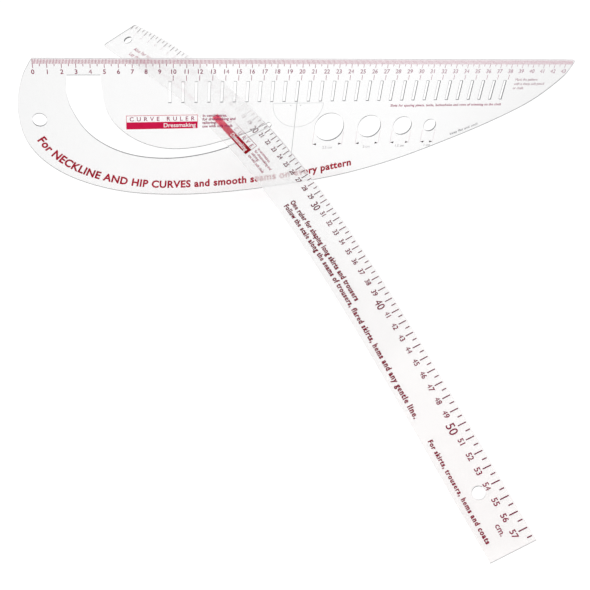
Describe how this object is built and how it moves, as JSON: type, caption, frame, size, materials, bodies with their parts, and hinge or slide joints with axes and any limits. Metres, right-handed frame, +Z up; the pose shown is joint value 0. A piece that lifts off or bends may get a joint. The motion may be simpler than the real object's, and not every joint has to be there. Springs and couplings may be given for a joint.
{
  "type": "french curve",
  "caption": "Clear dressmaking curve plate with a straight scale, crescent slot and stencil circles, standing with a long curved hip ruler threaded through the slot.",
  "frame": {"origin": "centre of the assembly's footprint, on the surface it stands on", "axes": "+Z up; -Y towards the high-numbered end of the hip ruler and the printed faces' viewer; the plate's scale runs nearly along +X"},
  "size_m": [0.4526, 0.5488, 0.1344],
  "materials": {
    "clear_sheet": "clear polished sheet",
    "mauve_ink": "screen-printed ink",
    "dark_ink": "screen-printed ink",
    "grey_line": "fine scribed line",
    "crimson_ink": "screen-printed ink",
    "red_ink": "screen-printed ink"
  },
  "bodies": {
    "plate": {"curve_plate": "clear_sheet", "plate_scale_marks": "mauve_ink", "pleat_slot_marks": "mauve_ink", "centre_line": "grey_line", "half_moon_mark": "grey_line", "circle_size_lines": "grey_line", "circle_size_arrows": "dark_ink", "plate_label_frame": "crimson_ink", "plate_label_bar": "crimson_ink"},
    "ruler": {"hip_ruler": "clear_sheet", "ruler_scale_marks": "dark_ink", "ruler_label_frame": "red_ink", "ruler_label_bar": "red_ink"}
  },
  "joints": [
    {"name": "ruler_slide", "type": "slide", "parent": "plate", "child": "ruler", "axis": [0.3137, -0.9463, -0.0785], "range_m": [-0.1, 0.06]}
  ]
}
